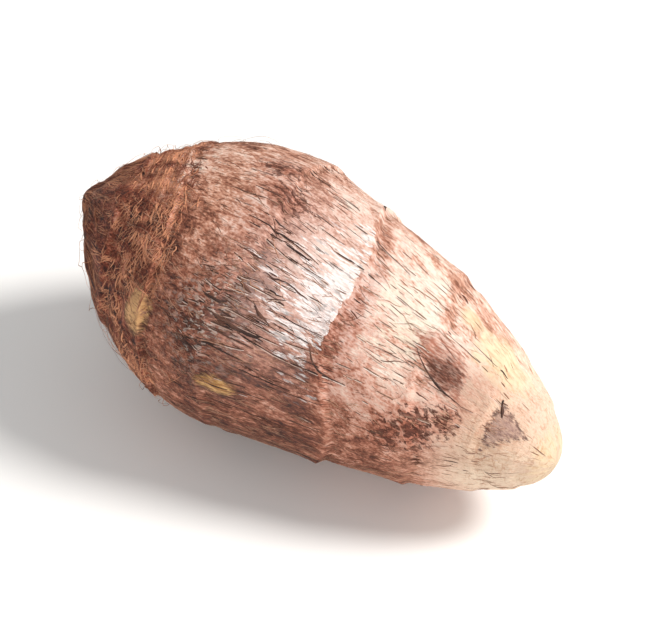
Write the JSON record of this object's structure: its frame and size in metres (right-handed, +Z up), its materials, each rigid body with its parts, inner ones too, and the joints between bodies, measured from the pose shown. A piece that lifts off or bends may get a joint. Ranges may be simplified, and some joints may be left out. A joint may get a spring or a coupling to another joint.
{
  "type": "taro root",
  "caption": "Whole unpeeled taro root lying on its side: top-shaped, with slanting leaf-scar rings, side buds and a pleated crown.",
  "frame": {"origin": "on the surface that the root lies on, under the middle of its bounding box", "axes": "+Z up, +X along the root from the leafy crown towards the narrow foot, +Y to its left"},
  "size_m": [0.1214, 0.0638, 0.0605],
  "materials": {
    "skin": "matte"
  },
  "bodies": {
    "root": {"corm": "skin"}
  },
  "joints": []
}
